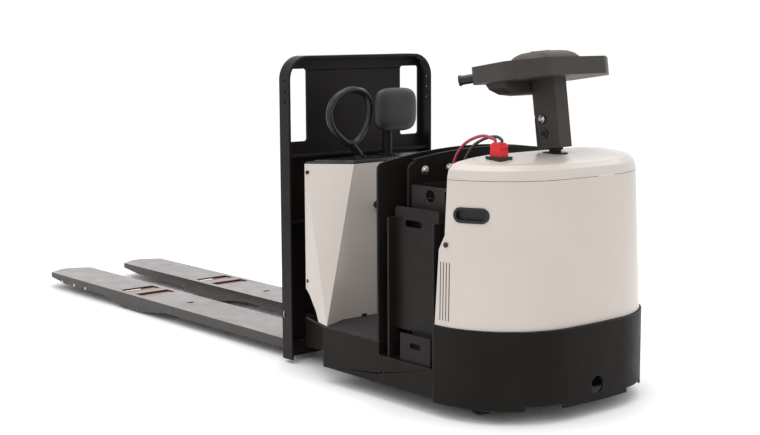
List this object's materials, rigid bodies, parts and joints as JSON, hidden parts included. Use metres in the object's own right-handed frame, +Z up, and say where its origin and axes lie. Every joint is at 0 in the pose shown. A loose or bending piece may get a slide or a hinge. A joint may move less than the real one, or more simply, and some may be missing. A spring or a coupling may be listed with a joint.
{
  "type": "electric pallet truck",
  "caption": "Battery pallet truck with rider step, low lifting forks and backrest, steering handle on a white hood, and load wheels that swing down as the forks rise.",
  "frame": {"origin": "on the ground under the middle of the overall length and width, forks lowered", "axes": "+X from the fork tips to the drive end, +Y to the truck's left, +Z up"},
  "size_m": [3.571, 0.914, 1.2786],
  "materials": {
    "frame_paint": "satin black-brown paint",
    "plate_paint": "satin dark paint",
    "fork_paint": "worn grey paint",
    "hood_white": "smooth warm white paint",
    "mat_rubber": "ribbed matte",
    "trim_black": "satin",
    "moulding": "fine grain",
    "connector_red": "semi gloss",
    "cable_crimson": "smooth",
    "cable_grey": "smooth",
    "bare_steel": "zinc plated",
    "pad_vinyl": "leather grain",
    "battery_case": "satin",
    "load_poly": "cast polyurethane",
    "tyre_black": "matte"
  },
  "bodies": {
    "power_unit": {"chassis": "frame_paint", "drive_skirt": "frame_paint", "floor_mat": "mat_rubber", "bay_wall": "plate_paint", "battery_stop": "plate_paint", "battery": "battery_case", "bulkhead": "plate_paint", "hood_body": "hood_white", "hood_lid": "hood_white", "cover_screws": "trim_black", "latch_bezels": "trim_black", "connector_base": "trim_black", "connector": "connector_red", "cable_positive": "cable_crimson", "cable_negative": "cable_grey", "tower_frame": "frame_paint", "tower_panel": "hood_white", "tower_cover": "trim_black", "hydraulic_unit": "bare_steel", "lift_cylinder": "bare_steel", "grab_bar": "trim_black", "pad_post": "plate_paint", "back_pad": "pad_vinyl", "slew_ring": "bare_steel", "battery_gates": "plate_paint"},
    "pedal": {"brake_pedal": "mat_rubber"},
    "knob": {"power_knob": "trim_black"},
    "right_panel": {"right_battery_panel": "plate_paint"},
    "left_panel": {"left_battery_panel": "plate_paint"},
    "carriage": {"backrest": "plate_paint", "carriage_base": "frame_paint", "right_fork": "fork_paint", "left_fork": "fork_paint", "lift_rod": "bare_steel"},
    "right_rod": {"right_pull_rod": "bare_steel"},
    "left_rod": {"left_pull_rod": "bare_steel"},
    "right_arm": {"right_wheel_arm": "plate_paint"},
    "left_arm": {"left_wheel_arm": "plate_paint"},
    "right_tandem": {"right_bogie": "plate_paint"},
    "left_tandem": {"left_bogie": "plate_paint"},
    "right_front_roller": {"right_front_load_wheel": "load_poly"},
    "right_rear_roller": {"right_rear_load_wheel": "load_poly"},
    "left_front_roller": {"left_front_load_wheel": "load_poly"},
    "left_rear_roller": {"left_rear_load_wheel": "load_poly"},
    "steering": {"drive_frame": "plate_paint", "drive_motor": "plate_paint", "steering_shaft": "plate_paint"},
    "drive_roller": {"drive_wheel": "tyre_black"},
    "right_caster": {"right_caster_fork": "bare_steel"},
    "left_caster": {"left_caster_fork": "bare_steel"},
    "right_caster_roller": {"right_caster_wheel": "tyre_black"},
    "left_caster_roller": {"left_caster_wheel": "tyre_black"},
    "handle": {"column": "moulding", "head_guard": "moulding", "head_pod": "moulding"},
    "right_twist": {"right_grip": "trim_black"},
    "left_twist": {"left_grip": "trim_black"},
    "horn": {"horn_button": "trim_black"},
    "lift_key": {"lift_button": "trim_black"},
    "lower_key": {"lower_button": "trim_black"}
  },
  "joints": [
    {"name": "fork_lift", "type": "slide", "parent": "power_unit", "child": "carriage", "axis": [0, 0, 1], "range_m": [0, 0.15]},
    {"name": "right_rod_pull", "type": "slide", "parent": "carriage", "child": "right_rod", "axis": [1, 0, 0], "range_m": [0, 0.00897]},
    {"name": "right_arm_drop", "type": "hinge", "parent": "carriage", "child": "right_arm", "pos_m": [-0.5945, -0.2175, 0.06], "axis": [0, -1, 0], "range_deg": [0, 26.64]},
    {"name": "right_tandem_level", "type": "hinge", "parent": "right_arm", "child": "right_tandem", "pos_m": [-0.9345, -0.2175, 0.038], "axis": [0, 1, 0], "range_deg": [0, 26.64]},
    {"name": "right_front_load_roll", "type": "hinge", "parent": "right_tandem", "child": "right_front_roller", "pos_m": [-1.0045, -0.2175, 0.038], "axis": [0, 1, 0], "continuous": true},
    {"name": "right_rear_load_roll", "type": "hinge", "parent": "right_tandem", "child": "right_rear_roller", "pos_m": [-0.8645, -0.2175, 0.038], "axis": [0, 1, 0], "continuous": true},
    {"name": "right_caster_swivel", "type": "hinge", "parent": "power_unit", "child": "right_caster", "pos_m": [1.5475, -0.305, 0.152], "axis": [0, 0, 1], "continuous": true},
    {"name": "right_caster_roll", "type": "hinge", "parent": "right_caster", "child": "right_caster_roller", "pos_m": [1.5135, -0.305, 0.06], "axis": [0, 1, 0], "continuous": true},
    {"name": "left_rod_pull", "type": "slide", "parent": "carriage", "child": "left_rod", "axis": [1, 0, 0], "range_m": [0, 0.00897]},
    {"name": "left_arm_drop", "type": "hinge", "parent": "carriage", "child": "left_arm", "pos_m": [-0.5945, 0.2175, 0.06], "axis": [0, -1, 0], "range_deg": [0, 26.64]},
    {"name": "left_tandem_level", "type": "hinge", "parent": "left_arm", "child": "left_tandem", "pos_m": [-0.9345, 0.2175, 0.038], "axis": [0, 1, 0], "range_deg": [0, 26.64]},
    {"name": "left_front_load_roll", "type": "hinge", "parent": "left_tandem", "child": "left_front_roller", "pos_m": [-1.0045, 0.2175, 0.038], "axis": [0, 1, 0], "continuous": true},
    {"name": "left_rear_load_roll", "type": "hinge", "parent": "left_tandem", "child": "left_rear_roller", "pos_m": [-0.8645, 0.2175, 0.038], "axis": [0, 1, 0], "continuous": true},
    {"name": "left_caster_swivel", "type": "hinge", "parent": "power_unit", "child": "left_caster", "pos_m": [1.5475, 0.305, 0.152], "axis": [0, 0, 1], "continuous": true},
    {"name": "left_caster_roll", "type": "hinge", "parent": "left_caster", "child": "left_caster_roller", "pos_m": [1.5135, 0.305, 0.06], "axis": [0, 1, 0], "continuous": true},
    {"name": "steer", "type": "hinge", "parent": "power_unit", "child": "steering", "pos_m": [1.5685, 0, 0.3], "axis": [0, 0, 1], "range_deg": [-90, 90]},
    {"name": "drive_roll", "type": "hinge", "parent": "steering", "child": "drive_roller", "pos_m": [1.5685, 0, 0.127], "axis": [0, 1, 0], "continuous": true},
    {"name": "handle_tilt", "type": "hinge", "parent": "steering", "child": "handle", "pos_m": [1.5425, 0, 0.983], "axis": [0, 1, 0], "range_deg": [-5, 8]},
    {"name": "right_grip_twist", "type": "hinge", "parent": "handle", "child": "right_twist", "pos_m": [1.46535, -0.118, 1.20139], "axis": [-0.8125, -0.5587, -0.1664], "range_deg": [-35, 35], "stiffness_Nm_per_rad": 1},
    {"name": "left_grip_twist", "type": "hinge", "parent": "handle", "child": "left_twist", "pos_m": [1.46535, 0.118, 1.20139], "axis": [-0.8125, 0.5587, -0.1664], "range_deg": [-35, 35], "stiffness_Nm_per_rad": 1},
    {"name": "horn_press", "type": "slide", "parent": "handle", "child": "horn", "axis": [0.1392, 0, -0.9903], "range_m": [0, 0.004], "stiffness_N_per_m": 400},
    {"name": "lift_press", "type": "slide", "parent": "handle", "child": "lift_key", "axis": [0.1392, 0, -0.9903], "range_m": [0, 0.003], "stiffness_N_per_m": 400},
    {"name": "lower_press", "type": "slide", "parent": "handle", "child": "lower_key", "axis": [0.1392, 0, -0.9903], "range_m": [0, 0.003], "stiffness_N_per_m": 400},
    {"name": "pedal_press", "type": "slide", "parent": "power_unit", "child": "pedal", "axis": [0, 0, -1], "range_m": [0, 0.01], "stiffness_N_per_m": 6000},
    {"name": "knob_push", "type": "slide", "parent": "power_unit", "child": "knob", "axis": [-1, 0, 0], "range_m": [0, 0.01]},
    {"name": "right_panel_lift", "type": "slide", "parent": "power_unit", "child": "right_panel", "axis": [0, 0, 1], "range_m": [0, 0.05]},
    {"name": "left_panel_lift", "type": "slide", "parent": "power_unit", "child": "left_panel", "axis": [0, 0, 1], "range_m": [0, 0.05]}
  ],
  "couplings": [
    {"joint": "right_rod_pull", "follows": "fork_lift", "ratio": 0.059738},
    {"joint": "right_arm_drop", "follows": "fork_lift", "rad_per_m": 3.0971},
    {"joint": "right_tandem_level", "follows": "fork_lift", "rad_per_m": 3.0971},
    {"joint": "left_rod_pull", "follows": "fork_lift", "ratio": 0.059738},
    {"joint": "left_arm_drop", "follows": "fork_lift", "rad_per_m": 3.0971},
    {"joint": "left_tandem_level", "follows": "fork_lift", "rad_per_m": 3.0971}
  ]
}
